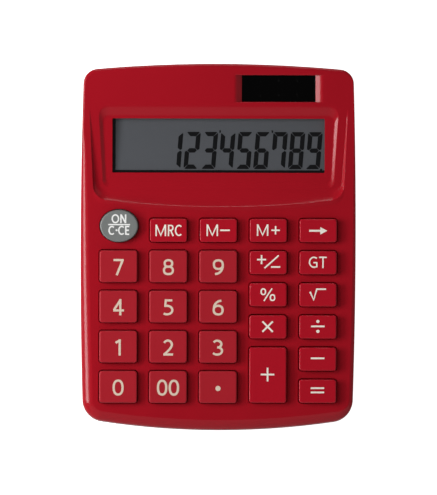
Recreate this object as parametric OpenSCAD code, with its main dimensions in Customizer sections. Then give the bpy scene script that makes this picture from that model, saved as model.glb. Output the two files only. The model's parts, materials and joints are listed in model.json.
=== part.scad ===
// Wedge-shaped desk and pocket calculator with a twelve-digit display, a solar cell and
// twenty-six sprung keys. Every sub-part is a module of its own, in millimetres.
// X runs to the right, Y from the front edge to the rear edge, Z up from the resting surface.

/* [Body] */
// Widest width, at the parting line
body_w = 103; // [100:0.5:106]
// Length from the front edge to the rear edge
body_l = 137.3; // [135:0.5:140]
// Height of the deck at the front edge
front_h = 9.5; // [9:0.1:11]
// Height of the deck at the rear edge
rear_h = 17.5; // [16:0.1:20]
// Height of the parting line between the two shells
part_h = 5; // [4.6:0.1:5.4]
// Wall thickness of the shells
wall = 1.8; // [1.5:0.1:2.2]
// Radius of the bowed left and right sides
side_r = 2000; // [1500:100:4000]
// Radius of the bowed rear edge
rear_r = 513; // [400:10:700]
// Radius of the bowed front edge
front_r = 299; // [250:10:400]
// Radius of the rear corners
rear_corner_r = 5.5; // [5:0.5:8]
// Radius of the front corners
front_corner_r = 8.3; // [6:0.5:10]

/* [Keys] */
// Distance between columns
column_pitch = 18.67; // [18:0.05:19]
// Width of a key
key_w = 14.2; // [13:0.1:14.6]
// Length of a number key
number_l = 12; // [11:0.1:12.4]
// Distance between rows of number keys
number_pitch = 15.06; // [14.8:0.02:15.2]
// Place of the first row of number keys
number_y = -7.24; // [-8:0.02:-7]
// Width of a function key
function_w = 14; // [13:0.1:14.6]
// Length of a function key
function_l = 8.8; // [8:0.1:9.2]
// Distance between rows of function keys
function_pitch = 12.04; // [12:0.02:12.2]
// Place of the first row of function keys
function_y = 6.33; // [6:0.03:6.6]
// Width and length of the oval key
oval_size = [14.2, 12];
// Column of the oval key, a little inwards of the first one
oval_column = -1.99; // [-2:0.01:-1.95]
// Place of the oval key
oval_y = 7.9; // [7.5:0.1:8.2]
// Corner radius of the keys
key_r = 1.1; // [0.8:0.1:2]
// Height of the keys above the deck
key_rise = 2.2; // [1.6:0.1:2.6]
// Clearance around a key in its opening
key_gap = 0.3; // [0.2:0.05:0.4]
// Travel of a key
key_travel = 1.3; // [1:0.1:1.4]

/* [Display] */
// Width and length of the window
window_size = [79.4, 20.3];
// Place of the window's centre
window_y = 37.9; // [37.5:0.1:38.5]
// Depth of the display recess at its front edge
recess_d = 2; // [1.6:0.1:2.2]
// Place of the recess's front edge, on the centre line
recess_y = 15.2; // [15:0.1:15.6]
// Radius of the recess's bowed front edge
recess_r = 350; // [300:10:400]
// Width and length of the flat bezel around the window
bezel_size = [87, 29];
// Depth of the flat bezel around the window
bezel_d = 1.6; // [1.4:0.1:1.8]

/* [Solar cell] */
// Width and length of the visible cell
cell_size = [27.6, 10];
// Place of the cell's centre
cell_at = [22.4, 59.4];
// Length of the ramp at each end of the cell
ramp_l = 3.7; // [3:0.1:4]
// Depth of the cell below the deck
cell_d = 1.4; // [1:0.1:1.5]

/* [Hidden] */
$fn = 48;
tilt = atan((rear_h - front_h) / body_l);
deck_mid = (rear_h + front_h) / 2;
foot_h = 1;
base_z = 0.8;
floor_z = base_z + 1.6;
cut = 0.02;

// Board stack, below the deck
flange_t = 0.9;
flange_w = 0.8;
flange_z = -wall - 0.1;
dome_h = 1.6;
dome_top_z = -3.4;
sheet_t = 0.6;
board_top_z = dome_top_z - dome_h - sheet_t;
board_t = 1.2;
board_low_z = board_top_z - board_t;
board_w = 90.4;
board_y = [-59, 17.5];
sheet_w = 89.2;
sheet_y = [-58.6, 14];
notch_r = 3.6;
pad_r = 2;
pad_t = 0.1;

// Plan of the display recess: half widths at its rear and front, and its front corners
recess_rear = [48.35, 52];
recess_front = [46.9, 20.2];
recess_corner_r = 5;
bezel_r = 3;

// Display stack, below the deck
block_z = -3.2;
block_size = [98, 41.6];
block_y = 34.2;
lens_t = 0.8;
lens_lip = 2;
panel_z = block_z - 0.1;
panel_t = 1.1;
panel_size = [84.4, 28];
panel_y = 37.15;
panel_low_z = panel_z - panel_t;
film_t = 0.2;
holder_t = 1.4;
holder_size = [92.6, 31.4];
holder_y = 36.9;
holder_low_z = panel_low_z - film_t - 0.1 - holder_t;
holder_window = [70, 18];
stake_r = 0.8;
ribbon_w = 60;

// Solar cell, below the deck
cell_pocket = cell_size + [1.6, 1.2];
cell_block = cell_size + [10, 3.4];
cell_block_z = -3;
cell_t = 1.15;

// Wires, which end just below the board
wire_d = 0.8;
solder_h = 0.4;

// Screws and bosses: place, and depth of the boss's root below the deck
case_bosses = [
    [-36, -62.1, 1.2], [36, -62.1, 1.2],
    [-46.6, 18, 2.6], [46.6, 18, 2.6],
    [-45, 60.5, 1.2], [45, 60.5, 1.2]
];
board_posts = [[-28, -10], [28, -10], [-28, -48], [28, -48]];
stakes = [[-44.6, 23.4], [44.6, 23.4], [-44.6, 50.4], [44.6, 50.4]];
feet = [[-40, -54], [40, -54], [-40, 54], [40, 54]];
supports = [[0, -14.7], [-column_pitch, -44.7], [column_pitch, -30]];
foot_r = 4;
screw_head_r = 1.9;
screw_r = 0.75;
screw_seat_z = 3.4;
boss_r = 1.9;
post_r = 1.35;
support_r = 1.5;

// Battery
battery_at = [-20, 44];
battery_r = 5.8;
battery_t = 3.05;
battery_z = 3.65;
roof = battery_z + battery_t + 0.5;
strip_l = 15.6;
door_w = 24;
door_y = 31;
door_lip = 1.8;
door_lip_t = 1;
door_gap = 0.3;
door_top_z = floor_z + 1.15;
grip_w = 12;
grip_ribs = 5;
cup_r = 6.4;

// Keys: name, column from -2 to 2, place along Y, width and length, and shape
function number_row(i) = number_y - i * number_pitch;
function function_row(i) = function_y - i * function_pitch;
number_size = [key_w, number_l];
function_size = [function_w, function_l];
KEYS = concat(
    [["key_on_clear", oval_column, oval_y, oval_size, "oval"]],
    [for (k = [["key_7", -2, 0], ["key_8", -1, 0], ["key_9", 0, 0],
               ["key_4", -2, 1], ["key_5", -1, 1], ["key_6", 0, 1],
               ["key_1", -2, 2], ["key_2", -1, 2], ["key_3", 0, 2],
               ["key_0", -2, 3], ["key_00", -1, 3], ["key_point", 0, 3]])
        [k[0], k[1], number_row(k[2]), number_size, "square"]],
    [for (k = [["key_memory_recall", -1, 0], ["key_memory_minus", 0, 0],
               ["key_memory_plus", 1, 0], ["key_backspace", 2, 0],
               ["key_sign", 1, 1], ["key_grand_total", 2, 1],
               ["key_percent", 1, 2], ["key_root", 2, 2],
               ["key_multiply", 1, 3], ["key_divide", 2, 3],
               ["key_minus", 2, 4], ["key_equals", 2, 5]])
        [k[0], k[1], function_row(k[2]), function_size, "square"]],
    [["key_plus", 1, (function_row(4) + function_row(5)) / 2,
      [function_w, function_l + function_pitch], "square"]]
);

// ---- Outline of the body, seen from above ----

function arc(c, r, a0, a1, n) =
    [for (i = [0 : n]) c + r * [cos(a0 + (a1 - a0) * i / n), sin(a0 + (a1 - a0) * i / n)]];
function tail(list) = [for (i = [1 : len(list) - 1]) list[i]];
function reversed(list) = [for (i = [len(list) - 1 : -1 : 0]) list[i]];
function bearing(from, to) = atan2(to[1] - from[1], to[0] - from[0]);

// Centre of the corner arc that touches the side arc and an end arc from inside
function corner_centre(a, ra, b, rb) =
    let (d = norm(b - a), u = (b - a) / d, t = (ra * ra - rb * rb + d * d) / (2 * d))
    a + t * u + sqrt(ra * ra - t * t) * [-u[1], u[0]];

// One quarter of the outline, moved inwards by an inset, from the side to the end
function quarter(end_r, corner_r, inset) =
    let (a = [body_w / 2 - side_r, 0],
         b = [0, body_l / 2 - end_r],
         c = corner_centre(a, side_r - corner_r, b, end_r - corner_r))
    concat(
        arc(a, side_r - inset, 0, bearing(a, c), 4),
        tail(arc(c, corner_r - inset, bearing(a, c), bearing(b, c), 7)),
        tail(arc(b, end_r - inset, bearing(b, c), 90, 6))
    );
function right_half(inset) =
    concat(
        reversed([for (p = quarter(front_r, front_corner_r, inset)) [p[0], -p[1]]]),
        tail(quarter(rear_r, rear_corner_r, inset))
    );
function outline(inset) =
    let (right = right_half(inset), left = tail(reversed(right)))
    concat(right, [for (i = [0 : len(left) - 2]) [-left[i][0], left[i][1]]]);

// ---- Helpers ----

// Places its children in the deck's frame: Z = 0 is the deck, and Z points out of it
module on_deck() {
    translate([0, 0, deck_mid]) rotate([tilt, 0, 0]) children();
}

// Height of the deck above the resting surface at a place along Y
function deck_height(y) = deck_mid + y * tan(tilt);

// A thin slice of the outline, for the hulls of the shells
module slice(z, inset) {
    translate([0, 0, z]) linear_extrude(cut) polygon(outline(inset));
}

module rounded_rect(size, r) {
    square([size[0] - 2 * r, size[1]], center = true);
    square([size[0], size[1] - 2 * r], center = true);
    for (x = [-1, 1], y = [-1, 1])
        translate([x * (size[0] / 2 - r), y * (size[1] / 2 - r)]) circle(r);
}

// A box centred along X and Y, from one height to another
module slab(size, z0, z1) {
    translate([-size[0] / 2, -size[1] / 2, z0]) cube([size[0], size[1], z1 - z0]);
}

// A thin wire along a list of points, with eight sides and lapped corners
module wire(points, d) {
    for (i = [0 : len(points) - 2]) {
        v = points[i + 1] - points[i];
        translate(points[i])
            rotate([0, acos(v[2] / norm(v)), atan2(v[1], v[0])])
                translate([0, 0, i == 0 ? 0 : -0.4 * d])
                    cylinder(h = norm(v) + (i == 0 ? 0 : 0.4 * d), d = d, $fn = 8);
    }
}

// ---- Shells ----

module top_solid() {
    hull() {
        slice(part_h, 0);
        on_deck() slice(-1.8, 0.25);
        on_deck() slice(-0.6, 0.8);
        on_deck() slice(-cut, 2);
    }
}

module top_hollow() {
    hull() {
        slice(part_h - cut, wall);
        on_deck() slice(-wall - cut, wall + 0.8);
    }
}

// Plan of the display recess: slanting sides and a bowed front edge
module recess_plan() {
    intersection() {
        translate([0, recess_y + recess_r]) circle(r = recess_r, $fn = 360);
        union() {
            polygon([[-recess_front[0], recess_front[1]], [-recess_rear[0], recess_rear[1]],
                     recess_rear, recess_front]);
            hull() for (x = [-1, 1])
                translate([x * (recess_front[0] - recess_corner_r), recess_front[1]])
                    circle(r = recess_corner_r, $fn = 32);
        }
    }
}

module display_recess() {
    slope = atan(recess_d / (recess_rear[1] - recess_y));
    intersection() {
        translate([0, 0, -2 * recess_d]) linear_extrude(2 * recess_d + 1) recess_plan();
        translate([0, recess_rear[1], 0]) rotate([slope, 0, 0])
            translate([-body_w / 2, -body_l / 2, 0]) cube([body_w, body_l / 2, 3 * recess_d]);
    }
    translate([0, window_y, -bezel_d]) linear_extrude(bezel_d + 1) rounded_rect(bezel_size, bezel_r);
}

module solar_recess() {
    half = cell_size[0] / 2;
    translate([cell_at[0], cell_at[1] + cell_size[1] / 2, 0]) rotate([90, 0, 0])
        linear_extrude(cell_size[1])
            polygon([[-half, -cell_d], [half, -cell_d], [half + ramp_l, 0], [half + ramp_l, 1],
                     [-half - ramp_l, 1], [-half - ramp_l, 0]]);
    translate([cell_at[0], cell_at[1], 0]) slab(cell_size, -2 * cell_d, 0);
    translate([cell_at[0], cell_at[1], 0]) slab(cell_pocket, cell_block_z - 1, -cell_d - 0.1);
}

module key_plan(k, grow) {
    size = k[3] + 2 * [grow, grow];
    translate([k[1] * column_pitch, k[2]])
        if (k[4] == "oval")
            polygon([for (a = [0 : 7.5 : 359]) [size[0] / 2 * cos(a), size[1] / 2 * sin(a)]]);
        else
            rounded_rect(size, key_r + grow);
}

module top_case() {
    color("firebrick") {
        difference() {
            top_solid();
            difference() {
                top_hollow();
                on_deck() difference() {
                    translate([0, block_y, 0]) slab(block_size, block_z, 1);
                    translate([0, 0, 2 * block_z]) linear_extrude(-2 * block_z - wall)
                        key_plan(KEYS[0], flange_w + key_gap);
                }
                on_deck() translate([cell_at[0], cell_at[1], 0]) slab(cell_block, cell_block_z, 1);
            }
            on_deck() {
                display_recess();
                solar_recess();
                translate([0, window_y, 0]) slab(window_size, block_z - 1, 0);
                translate([0, window_y, 0])
                    slab(window_size + 2 * [lens_lip, lens_lip], block_z - 1, block_z + lens_t);
                for (k = KEYS) translate([0, 0, block_z]) linear_extrude(1 - block_z) key_plan(k, key_gap);
            }
        }
        for (b = case_bosses) difference() {
            translate([b[0], b[1], part_h])
                cylinder(h = deck_height(b[1]) - b[2] - part_h, r = boss_r);
            translate([b[0], b[1], part_h - 1]) cylinder(h = 4.2, r = screw_r + 0.05);
        }
        on_deck() for (p = board_posts) difference() {
            translate([p[0], p[1], board_top_z]) cylinder(h = -wall + 0.4 - board_top_z, r = post_r);
            translate([p[0], p[1], board_top_z - 1]) cylinder(h = 3.6, r = 0.6);
        }
        on_deck() for (s = stakes) {
            translate([s[0], s[1], holder_low_z - 0.1]) cylinder(h = 3.6, r = stake_r);
            translate([s[0], s[1], holder_low_z - 0.7]) cylinder(h = 0.6, r = stake_r + 0.5);
        }
    }
}

module bottom_solid() {
    hull() {
        slice(part_h - cut, 0.3);
        slice(2.2, 0.9);
        slice(base_z, 2);
    }
}

// The cover's opening through the floor and the rear wall, grown by a clearance
module door_plan(gap) {
    translate([battery_at[0] - door_w / 2 - gap, door_y - gap, base_z - 1])
        cube([door_w + 2 * gap, body_l, door_top_z + gap - base_z + 1]);
    translate([battery_at[0] - door_w / 2 - door_lip - gap, door_y + 1.5 - gap,
               door_top_z - door_lip_t - gap])
        cube([door_w + 2 * door_lip + 2 * gap, body_l, door_lip_t + 2 * gap]);
}

module bottom_case() {
    color("brown") {
        difference() {
            bottom_solid();
            hull() {
                slice(part_h, wall + 0.3);
                slice(floor_z, wall + 1.6);
            }
            door_plan(door_gap);
            for (b = case_bosses) translate([b[0], b[1], 0])
                cylinder(h = screw_seat_z, r = screw_head_r + 0.25);
            for (f = feet) translate([f[0], f[1], 0]) cylinder(h = foot_h, r = foot_r + 0.1);
        }
        for (b = case_bosses) difference() {
            translate([b[0], b[1], base_z + 0.6]) cylinder(h = part_h - base_z - 0.6, r = 2.7);
            translate([b[0], b[1], 0]) cylinder(h = screw_seat_z, r = screw_head_r + 0.25);
            translate([b[0], b[1], 0]) cylinder(h = part_h + 1, r = screw_r + 0.3);
        }
        for (s = supports)
            translate([s[0], s[1], floor_z - 0.5])
                cylinder(h = deck_height(s[1]) + board_low_z - floor_z + 0.3, r = support_r);
    }
}

module battery_cover() {
    color("brown") {
        difference() {
            intersection() {
                bottom_solid();
                door_plan(0);
            }
            for (i = [0 : grip_ribs - 1])
                translate([battery_at[0] - grip_w / 2, 54 + i * 2, base_z - cut])
                    cube([grip_w, 1, 0.4]);
        }
    }
}

module rubber_feet() {
    color("dimgray")
        for (f = feet) translate([f[0], f[1], 0]) {
            cylinder(h = 0.3, r1 = foot_r - 0.4, r2 = foot_r);
            translate([0, 0, 0.3]) cylinder(h = foot_h - 0.3, r = foot_r);
        }
}

module case_screws() {
    color("silver")
        for (b = case_bosses) translate([b[0], b[1], 0]) {
            difference() {
                translate([0, 0, screw_seat_z - 1.2]) cylinder(h = 1.2, r = screw_head_r);
                for (a = [0, 90]) rotate([0, 0, a])
                    slab([2.2, 0.5], screw_seat_z - 1.4, screw_seat_z - 0.6);
            }
            translate([0, 0, screw_seat_z]) cylinder(h = 4.4, r = screw_r);
        }
}

// ---- Display and solar cell ----

module display_window() {
    color("lightsteelblue", 0.5) on_deck() translate([0, window_y, 0])
        slab(window_size + 2 * [lens_lip - 0.1, lens_lip - 0.1], block_z, block_z + lens_t);
}

module lcd_panel() {
    color("dimgray") on_deck() {
        translate([0, panel_y, 0]) slab(panel_size, panel_low_z, panel_z - panel_t / 2);
        translate([0, panel_y + 1.5, 0]) slab(panel_size - [0, 3], panel_z - panel_t / 2, panel_z);
    }
}

module lcd_backing_film() {
    color("silver") on_deck() translate([0, panel_y + 2, 0])
        slab([panel_size[0] - 2, panel_size[1] - 6], panel_low_z - film_t, panel_low_z);
}

module lcd_holder() {
    color("white") on_deck() difference() {
        translate([0, holder_y, 0]) slab(holder_size, holder_low_z, block_z - 0.05);
        translate([0, panel_y, 0])
            slab(panel_size + [0.4, 0.4], panel_low_z - film_t - 0.1, block_z + 1);
        translate([0, holder_y, 0]) slab(holder_window, holder_low_z - 1, block_z);
        translate([0, holder_y - holder_size[1] / 2, 0])
            slab([ribbon_w + 2, 8], panel_low_z - film_t - 1, panel_low_z + 0.3);
        for (s = stakes) translate([s[0], s[1], 3 * block_z])
            cylinder(h = -3 * block_z, r = stake_r + 0.15);
    }
}

module lcd_ribbon() {
    low = panel_low_z - film_t;
    land = board_top_z;
    color("orange") on_deck() translate([-ribbon_w / 2, 0, 0]) rotate([90, 0, 90])
        linear_extrude(ribbon_w)
            polygon([[25.8, low], [25.8, low + film_t], [22.4, low + film_t], [19.6, land + film_t],
                     [14.8, land + film_t], [14.8, land], [19.4, land], [22.2, low]]);
}

module solar_cell() {
    color("black") on_deck() translate([cell_at[0], cell_at[1], 0])
        slab(cell_pocket - [0.2, 0.2], -cell_d - 0.15 - cell_t, -cell_d - 0.15);
}

module solar_leads() {
    color("crimson") on_deck() for (i = [0, 1])
        wire([[cell_at[0] - 8 + 3 * i, cell_at[1], -cell_d - 0.15 - cell_t],
              [cell_at[0] - 8 + 3 * i, cell_at[1], -8.4],
              [cell_at[0] - 8 + 3 * i, 18.8, -8.4],
              [cell_at[0] - 8 + 3 * i, 16.2, board_low_z - solder_h]], wire_d);
}

// ---- Circuit board ----

module circuit_board() {
    color("forestgreen") on_deck() difference() {
        translate([-board_w / 2, board_y[0], board_low_z])
            cube([board_w, board_y[1] - board_y[0], board_t]);
        for (p = board_posts) translate([p[0], p[1], board_low_z - 1]) cylinder(h = 3, r = 0.8);
        for (i = [2, 3]) translate([case_bosses[i][0], case_bosses[i][1], board_low_z - 2])
            cylinder(h = 6, r = notch_r);
    }
}

module contact_pads() {
    color("gold") on_deck()
        for (k = KEYS)
            translate([k[1] * column_pitch, k[2], board_top_z]) cylinder(h = pad_t, r = pad_r);
}

module chip_cover() {
    cap_r = 14;
    cap_h = 1.2;
    color("black") on_deck() translate([0, 4, board_low_z]) intersection() {
        translate([0, 0, cap_r - cap_h]) sphere(r = cap_r, $fn = 128);
        translate([-10, -10, -cap_h]) cube([20, 20, cap_h]);
    }
}

module capacitors() {
    color("navy") on_deck() for (x = [20, 27])
        translate([x, 8, board_low_z - 1.9]) rotate([90, 0, 0]) cylinder(h = 7, r = 1.9);
}

module keypad_membrane() {
    color("gainsboro") on_deck() difference() {
        union() {
            translate([-sheet_w / 2, sheet_y[0], board_top_z])
                cube([sheet_w, sheet_y[1] - sheet_y[0], sheet_t]);
            for (k = KEYS) translate([k[1] * column_pitch, k[2], board_top_z])
                cylinder(h = dome_h + sheet_t, r1 = 4, r2 = 2.6);
        }
        for (k = KEYS) translate([k[1] * column_pitch, k[2], board_top_z - 1])
            cylinder(h = 1 + sheet_t + 0.8, r1 = 3.6, r2 = 2.2);
        for (p = board_posts) translate([p[0], p[1], board_top_z - 1]) cylinder(h = 3, r = 1.7);
    }
}

module board_screws() {
    color("silver") on_deck() for (p = board_posts) translate([p[0], p[1], board_low_z]) {
        translate([0, 0, -0.8]) cylinder(h = 0.8, r = 1.3);
        cylinder(h = 3.6, r = 0.55);
    }
}

// ---- Battery ----

module battery() {
    color("silver") translate([battery_at[0], battery_at[1], battery_z]) {
        translate([0, 0, 0.4]) cylinder(h = battery_t - 0.4, r = battery_r);
        cylinder(h = 0.4, r = battery_r - 0.9);
    }
}

module battery_holder() {
    leg_x = door_w / 2 + door_lip + door_gap + 0.3;
    color("white") translate([battery_at[0], battery_at[1], 0]) {
        difference() {
            union() {
                slab([2 * leg_x + 2, 15], roof, roof + 1);
                translate([0, 0, battery_z + 0.15]) cylinder(h = roof - battery_z, r = cup_r + 1);
            }
            translate([0, 0, battery_z - 1]) cylinder(h = roof - battery_z + 1, r = cup_r);
            translate([0, 0, battery_z - 1]) slab([4, 20], 0, roof - battery_z + 1);
        }
        for (x = [-1, 1]) translate([x * (leg_x + 0.5), 0, 0]) slab([1, 15], floor_z, roof + 0.5);
    }
}

module battery_contact_negative() {
    color("silver") translate([battery_at[0], battery_at[1], 0]) {
        slab([3, strip_l], roof - 0.3, roof);
        translate([0, 0, roof - 0.5]) cylinder(h = 0.3, r = 1.2);
    }
}

module battery_contact_positive() {
    color("silver") translate([battery_at[0], battery_at[1] - battery_r - 0.35, 0])
        slab([3.4, 0.3], battery_z + 0.6, battery_z + battery_t);
}

module battery_leads() {
    end_z = deck_height(16) + board_low_z - solder_h;
    color("black")
        for (p = [[battery_at[0] - 1, battery_at[1] - battery_r - 0.5, roof - 0.7],
                  [battery_at[0] + 1, battery_at[1] - strip_l / 2, roof - 0.15]])
            wire([p, [p[0], 18, end_z - 1.1], [p[0], 16, end_z]], wire_d);
}

// ---- Keys ----

module keycap(k) {
    shade = k[4] == "oval" ? "gray" : k[3] == number_size ? "indianred" : "crimson";
    color(shade) on_deck() {
        difference() {
            union() {
                translate([0, 0, flange_z - flange_t])
                    linear_extrude(key_rise - 0.4 - flange_z + flange_t) key_plan(k, 0);
                translate([0, 0, key_rise - 0.4]) linear_extrude(0.4) key_plan(k, -0.3);
                translate([0, 0, flange_z - flange_t]) linear_extrude(flange_t)
                    key_plan(k, flange_w);
            }
            translate([0, 0, flange_z - flange_t - 1])
                linear_extrude(key_rise - 1.4 - flange_z + flange_t + 1) key_plan(k, -1);
        }
        translate([k[1] * column_pitch, k[2], dome_top_z + 0.05])
            cylinder(h = key_rise - 1 - dome_top_z, r = 2.1);
    }
}

top_case();
bottom_case();
display_window();
lcd_panel();
lcd_backing_film();
lcd_holder();
lcd_ribbon();
solar_cell();
solar_leads();
circuit_board();
contact_pads();
chip_cover();
capacitors();
keypad_membrane();
battery();
battery_holder();
battery_contact_positive();
battery_contact_negative();
battery_leads();
battery_cover();
case_screws();
board_screws();
rubber_feet();
for (k = KEYS) keycap(k);
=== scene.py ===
"""Looks of a red twelve-digit desk and pocket calculator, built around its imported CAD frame.

Shapes are worked out in millimetres, either in the deck's own frame, where Z = 0 is the
tilted deck, or in the level frame of the body. They become metres as they are placed.
"""
import json
import math

import bmesh
import bpy
import numpy as np
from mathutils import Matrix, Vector
from mathutils.geometry import delaunay_2d_cdt

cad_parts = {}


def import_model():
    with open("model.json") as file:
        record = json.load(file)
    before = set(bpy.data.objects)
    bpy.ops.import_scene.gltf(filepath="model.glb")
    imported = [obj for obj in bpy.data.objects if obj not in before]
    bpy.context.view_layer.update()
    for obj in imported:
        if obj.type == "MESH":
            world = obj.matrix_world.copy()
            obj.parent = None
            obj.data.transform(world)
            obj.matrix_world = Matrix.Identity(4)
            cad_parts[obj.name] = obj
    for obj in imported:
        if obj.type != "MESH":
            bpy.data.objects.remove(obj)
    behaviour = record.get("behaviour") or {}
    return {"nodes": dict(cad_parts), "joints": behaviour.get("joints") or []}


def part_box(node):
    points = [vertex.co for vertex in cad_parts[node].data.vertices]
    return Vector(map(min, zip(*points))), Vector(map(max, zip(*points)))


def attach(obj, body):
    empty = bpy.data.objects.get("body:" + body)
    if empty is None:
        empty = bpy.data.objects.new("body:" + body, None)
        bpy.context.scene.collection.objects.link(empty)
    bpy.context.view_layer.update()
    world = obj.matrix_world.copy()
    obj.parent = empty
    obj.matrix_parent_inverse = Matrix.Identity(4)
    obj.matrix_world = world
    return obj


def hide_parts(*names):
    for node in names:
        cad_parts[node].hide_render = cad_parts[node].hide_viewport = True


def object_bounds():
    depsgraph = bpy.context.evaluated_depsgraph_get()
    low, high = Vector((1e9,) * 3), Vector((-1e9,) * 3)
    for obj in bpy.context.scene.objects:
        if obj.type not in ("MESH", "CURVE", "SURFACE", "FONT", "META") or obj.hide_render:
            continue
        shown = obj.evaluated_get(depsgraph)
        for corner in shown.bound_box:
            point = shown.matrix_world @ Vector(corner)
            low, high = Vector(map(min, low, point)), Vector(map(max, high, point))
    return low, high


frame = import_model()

cad_low, cad_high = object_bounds()

# ---- The frame's own sizes, in millimetres ----

MM = 0.001
BODY_W = (cad_high.x - cad_low.x) / MM
BODY_L = (cad_high.y - cad_low.y) / MM
PRESS = next(j["axis"] for j in frame["joints"] if j["name"] == "key_5_press")
SIN, COS = PRESS[1], -PRESS[2]
DECK_INSET = 2.0
DECK_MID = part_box("top_case")[1].z / MM - (BODY_L / 2 - DECK_INSET) * SIN

# ---- Sizes shared by several pieces, in millimetres ----

WALL = 1.8
PART_H = 5.0
BASE_Z = 0.8
FLOOR_Z = 2.4
SIDE_R, REAR_R, FRONT_R = 2000.0, 513.0, 299.0
REAR_CORNER_R, FRONT_CORNER_R = 5.5, 8.3
KEY_GAP = 0.3
KEY_R = 1.1
KEY_MIN_R = 0.35
KEY_FLANGE = 0.8
KEY_FLANGE_T = 0.9
KEY_WALL = 1.0
KEY_POST_R = 2.1
KEY_ROUND = 0.5
KEY_DRAFT = 0.02
KEY_DISH = 0.12
POST_R, POST_BORE_R, POST_BORE_D = 1.9, 0.8, 3.2
BOSS_R, BOSS_HOLE_R, HEAD_R, HEAD_Z = 2.3, 1.05, 2.15, 3.4
BLOCK_Z = -3.2
LENS_TOP_Z = -2.4
LENS_LIP = 1.9
BEZEL_D = 1.6
BEZEL_SLOPE = 0.045
BEZEL_MID_Y = 38.0
RECESS_REAR_Y = 52.0
RECESS_SLOPE = 2.0 / 36.8
SOLAR_D = 1.4
SOLAR_RAMP = 3.1
SOLAR_BEND = 0.45
SOLAR_GROOVE = 0.015
SOLAR_LIP_X, SOLAR_LIP_Y = 0.7, 0.5
DOOR_GAP = 0.3
DOOR_LIP = 1.8
DOOR_TOP_Z = 3.55
RIB_Y, RIB_PITCH, RIB_D, RIB_INSET = 54, 2, 0.35, 6
FOOT_R = 4.0
FOOT_RECESS_Z = 1.0
LOWER_ROUND = 1.35

# The deck's rounded edge: its reach at the sides and ends, its growth along them and its form
EDGE_REAR, EDGE_FRONT = 0.6, 4.0
EDGE_REAR_END = 1.6
EDGE_RIGHT_SHARE = 0.4
EDGE_GROWTH_Y = 42
EDGE_GROWTH_POWER = 0.45
EDGE_DRAFT = 0.05
EDGE_DROP = 0.65
EDGE_POWER = 1.35
EDGE_STEPS = 10


def deck(x, y, z):
    """A place in the deck's frame, in millimetres, as a point in metres."""
    return Vector((x, y * COS - z * SIN, DECK_MID + y * SIN + z * COS)) * MM


def level(x, y, z):
    """A place in the body's level frame, in millimetres, as a point in metres."""
    return Vector((x, y, z)) * MM


def deck_box(node):
    """Lowest and highest corner of a CAD node in the deck's frame, in millimetres."""
    corners = []
    for vertex in frame["nodes"][node].data.vertices:
        x, y, z = vertex.co / MM
        z -= DECK_MID
        corners.append((x, y * COS + z * SIN, z * COS - y * SIN))
    corners = np.array(corners)
    return corners.min(axis=0), corners.max(axis=0)


def mix(a, b, t):
    return a + (b - a) * t


def clamp(value, low=0.0, high=1.0):
    return max(low, min(high, value))


def new_object(name, data):
    made = bpy.data.objects.new(name, data)
    bpy.context.scene.collection.objects.link(made)
    return made


# ---- Mesh building ----


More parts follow.
